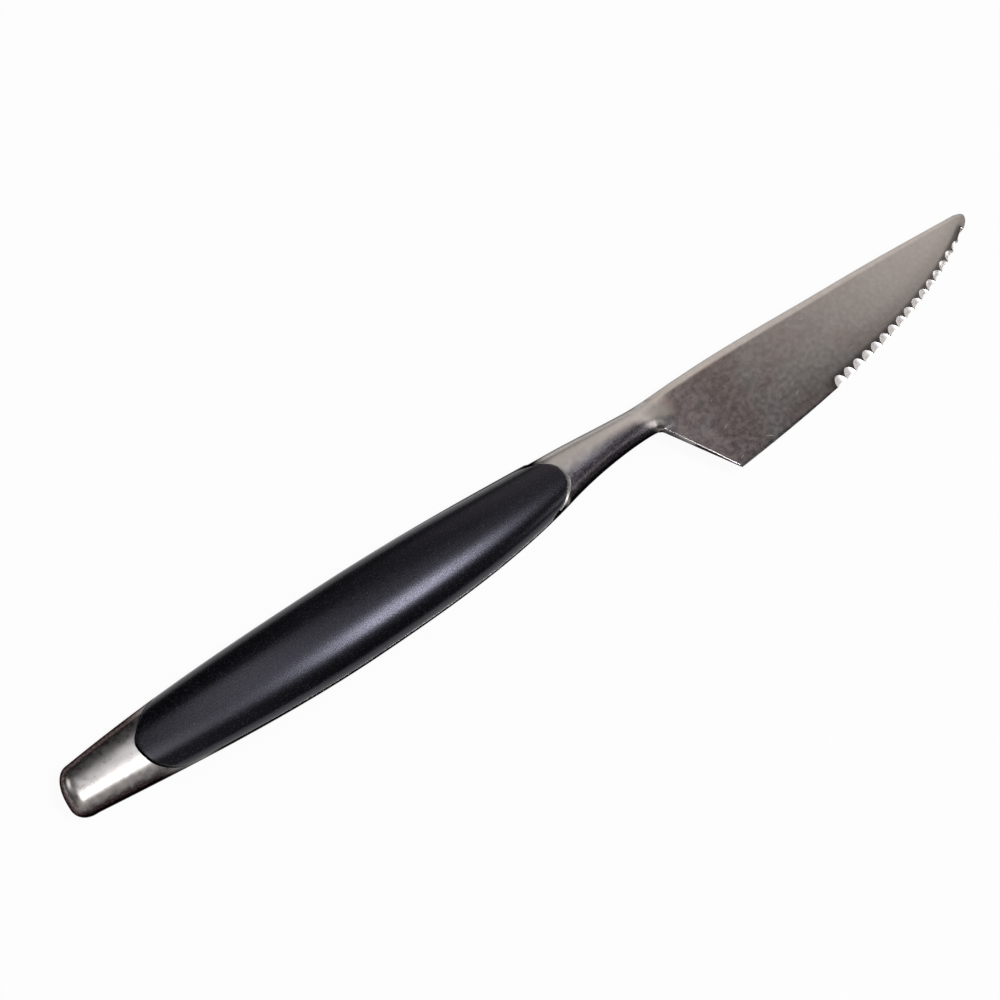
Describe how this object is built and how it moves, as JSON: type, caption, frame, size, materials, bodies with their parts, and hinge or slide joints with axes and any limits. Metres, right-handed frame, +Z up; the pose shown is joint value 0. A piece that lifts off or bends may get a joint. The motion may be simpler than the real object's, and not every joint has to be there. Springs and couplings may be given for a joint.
{
  "type": "steak knife",
  "caption": "steak knife with a satin steel blade scalloped along the front of its edge, a round steel neck, a full-length tang and pommel, and black composite handle scales",
  "frame": {"origin": "middle of the knife's outline seen from the side, on the surface that the left scale rests on, with the knife lying on its left side", "axes": "+X from the pommel to the tip, +Y from the cutting edge to the spine, +Z up through the right side of the knife"},
  "size_m": [0.2169, 0.026, 0.0106],
  "materials": {
    "steel": "satin ground, with fine handling scratches",
    "composite": "matt black composite with fine pale specks",
    "adhesive": "cured dark epoxy film",
    "pin_steel": "drawn wire, cut to length"
  },
  "bodies": {
    "root": {"blade_and_tang": "steel", "right_scale": "composite", "left_scale": "composite", "right_bond": "adhesive", "left_bond": "adhesive", "front_pin": "pin_steel", "middle_pin": "pin_steel", "rear_pin": "pin_steel"}
  },
  "joints": []
}
